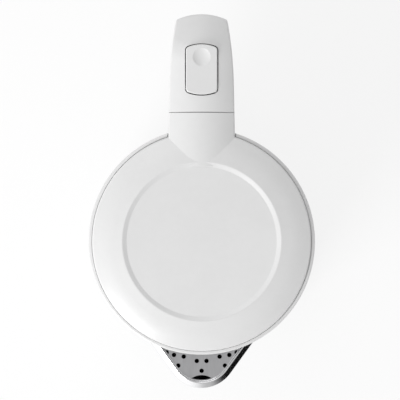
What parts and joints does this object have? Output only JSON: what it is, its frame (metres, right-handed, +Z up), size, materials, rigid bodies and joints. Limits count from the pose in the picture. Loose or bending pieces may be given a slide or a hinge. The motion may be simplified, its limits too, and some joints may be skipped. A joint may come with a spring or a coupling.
{
  "type": "electric kettle",
  "caption": "Electric kettle: double-wall jug with a flat tilting lid, a thumb button in the loop handle and a steel pouring lip, on a round power base.",
  "frame": {"origin": "on the table under the base's foot ring, on the axis the jug turns about on its base", "axes": "+Z up, -Y along the pouring spout, +Y along the handle, +X to the right of someone holding the handle and facing the spout's side"},
  "size_m": [0.158, 0.2501, 0.2251],
  "materials": {
    "white_plastic": "glossy moulded polypropylene",
    "polished_steel": "polished stainless steel",
    "brushed_steel": "brushed stainless steel",
    "aluminium": "plain die-cast aluminium",
    "element_sheath": "drawn aluminium sheath",
    "spring_steel": "drawn spring wire",
    "zinc_plate": "zinc-plated screw steel",
    "brass": "plain brass",
    "dark_plastic": "glass-filled black nylon",
    "grey_plastic": "light grey moulded plastic",
    "white_inner": "satin white moulded plastic",
    "silicone": "translucent grey silicone",
    "foot_rubber": "matt black rubber",
    "lens": "clear acrylic"
  },
  "bodies": {
    "base": {"base_cover": "white_plastic", "base_plate": "grey_plastic", "base_foot_ring": "foot_rubber", "base_screws": "zinc_plate", "cord_gland": "dark_plastic", "cord_clamp": "grey_plastic", "clamp_screws": "zinc_plate", "base_connector": "dark_plastic", "base_contacts": "brass", "shutter_spring": "spring_steel"},
    "pin_shutter": {"pin_shutter": "dark_plastic"},
    "jug": {"bottom_cover": "grey_plastic", "bottom_screws": "zinc_plate", "outer_shell": "white_plastic", "heat_plate": "aluminium", "heating_element": "element_sheath", "element_terminals": "zinc_plate", "control_unit": "dark_plastic", "jug_contacts": "brass", "snap_discs": "brass", "steam_switch": "dark_plastic", "steam_tube": "silicone", "liner": "brushed_steel", "lever_bracket": "grey_plastic", "lever_pin": "zinc_plate", "top_collar": "white_plastic", "liner_gasket": "silicone", "spout_channel": "brushed_steel", "spout_lip": "polished_steel", "spout_strainer": "brushed_steel", "hinge_pin": "zinc_plate", "lid_springs": "spring_steel", "handle_body": "white_plastic", "handle_cap": "white_plastic", "handle_lining": "white_inner", "handle_screws": "zinc_plate", "button_pin": "zinc_plate", "button_spring": "spring_steel"},
    "lid": {"lid_cover": "white_plastic", "lid_inner": "white_inner", "lid_seal": "silicone", "lid_frame": "aluminium", "lid_screws": "zinc_plate"},
    "lid_button": {"lid_button": "white_plastic"},
    "lid_latch": {"latch_slider": "grey_plastic"},
    "switch_lever": {"switch_lever": "white_plastic", "indicator_lens": "lens"}
  },
  "joints": [
    {"name": "jug_swivel", "type": "hinge", "parent": "base", "child": "pin_shutter", "pos_m": [0, 0, 0], "axis": [0, 0, 1], "continuous": true},
    {"name": "jug_lift", "type": "slide", "parent": "pin_shutter", "child": "jug", "axis": [0, 0, 1], "range_m": [0, 0.06]},
    {"name": "lid_hinge", "type": "hinge", "parent": "jug", "child": "lid", "pos_m": [0, 0.079, 0.217], "axis": [1, 0, 0], "range_deg": [-75, 0]},
    {"name": "lid_button_press", "type": "hinge", "parent": "jug", "child": "lid_button", "pos_m": [0, 0.1015, 0.219], "axis": [1, 0, 0], "range_deg": [-6, 0], "stiffness_Nm_per_rad": 1, "springref_deg": 8.59, "deforming": ["button_spring"]},
    {"name": "latch_slide", "type": "slide", "parent": "jug", "child": "lid_latch", "axis": [0, 1, 0], "range_m": [0, 0.00125]},
    {"name": "switch_lever_rock", "type": "hinge", "parent": "jug", "child": "switch_lever", "pos_m": [0, 0.071, 0.034], "axis": [1, 0, 0], "range_deg": [0, 9]}
  ],
  "couplings": [
    {"joint": "latch_slide", "follows": "lid_button_press", "m_per_rad": -0.0115}
  ]
}
